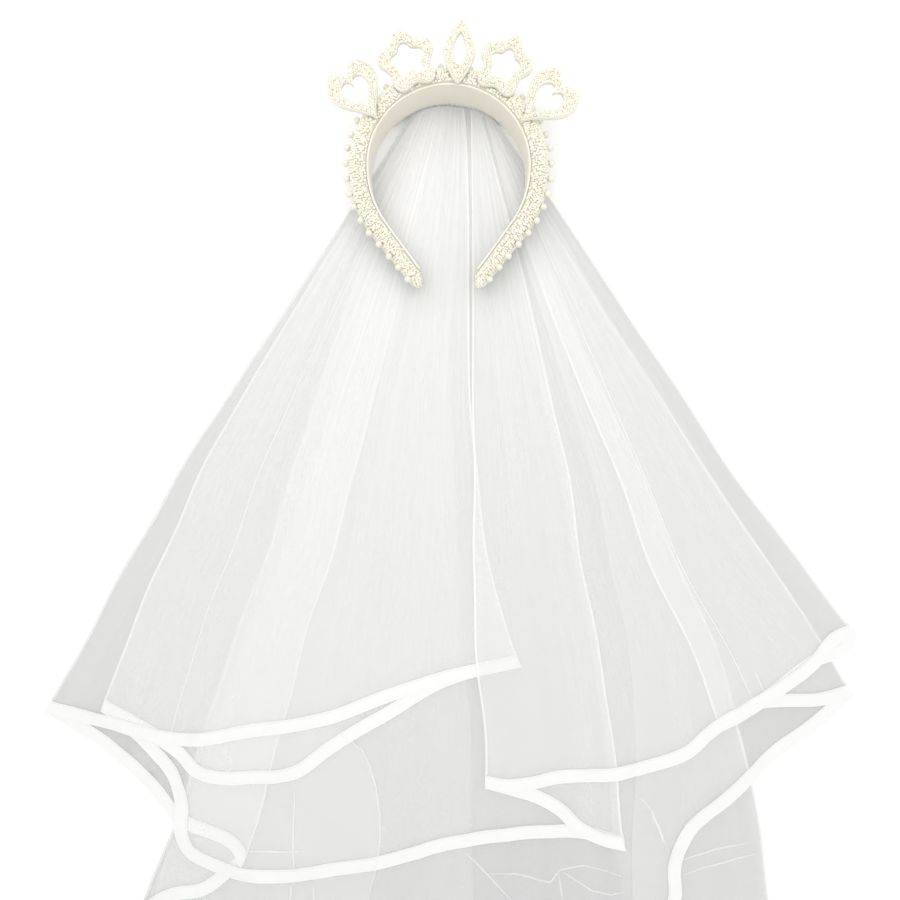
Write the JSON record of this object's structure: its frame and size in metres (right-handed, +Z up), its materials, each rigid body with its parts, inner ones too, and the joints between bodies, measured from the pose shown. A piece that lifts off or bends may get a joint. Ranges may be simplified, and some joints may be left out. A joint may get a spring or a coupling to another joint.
{
  "type": "pearl headband with veil",
  "caption": "Padded headband covered in pearls, with upright pearl ornaments on its crown and a sheer two-tier veil with ribbon hems, lying flat on its back edge.",
  "frame": {"origin": "centre of the footprint, on the surface that the headband and veil lie on", "axes": "+Z up, from the band's back edge to its front edge; +Y from the veil's hem to the crown; +X to the right seen from above"},
  "size_m": [0.6442, 0.7654, 0.0475],
  "materials": {
    "seed_pearl_cover": "closely set small ivory pearls",
    "cream_felt": "cream felt",
    "cream_lining": "soft cream lining cloth",
    "large_pearl": "smooth ivory pearl",
    "white_organza": "sheer white organza",
    "white_satin": "white satin ribbon"
  },
  "bodies": {
    "root": {"band": "seed_pearl_cover", "lining": "cream_lining", "piping": "cream_felt", "ornament_heart_left": "cream_felt", "ornament_flower_left": "cream_felt", "ornament_lozenge": "cream_felt", "ornament_flower_right": "cream_felt", "ornament_heart_right": "cream_felt", "pearl_01": "large_pearl", "pearl_02": "large_pearl", "pearl_03": "large_pearl", "pearl_04": "large_pearl", "pearl_05": "large_pearl", "pearl_06": "large_pearl", "pearl_07": "large_pearl", "pearl_08": "large_pearl", "pearl_09": "large_pearl", "pearl_10": "large_pearl", "pearl_11": "large_pearl", "pearl_12": "large_pearl", "pearl_13": "large_pearl", "pearl_14": "large_pearl", "pearl_15": "large_pearl", "pearl_16": "large_pearl", "pearl_17": "large_pearl", "pearl_18": "large_pearl", "pearl_19": "large_pearl", "pearl_20": "large_pearl", "pearl_21": "large_pearl", "pearl_22": "large_pearl", "pearl_23": "large_pearl", "pearl_24": "large_pearl", "pearl_25": "large_pearl", "pearl_26": "large_pearl", "pearl_27": "large_pearl", "pearl_28": "large_pearl", "pearl_29": "large_pearl", "pearl_30": "large_pearl", "pearl_31": "large_pearl", "pearl_32": "large_pearl", "pearl_33": "large_pearl", "pearl_34": "large_pearl", "pearl_35": "large_pearl", "pearl_36": "large_pearl", "pearl_37": "large_pearl", "pearl_38": "large_pearl", "pearl_39": "large_pearl", "pearl_40": "large_pearl", "veil_heading": "white_organza", "veil_upper_tier": "white_organza", "veil_upper_ribbon": "white_satin", "veil_lower_tier": "white_organza", "veil_lower_ribbon": "white_satin"}
  },
  "joints": []
}
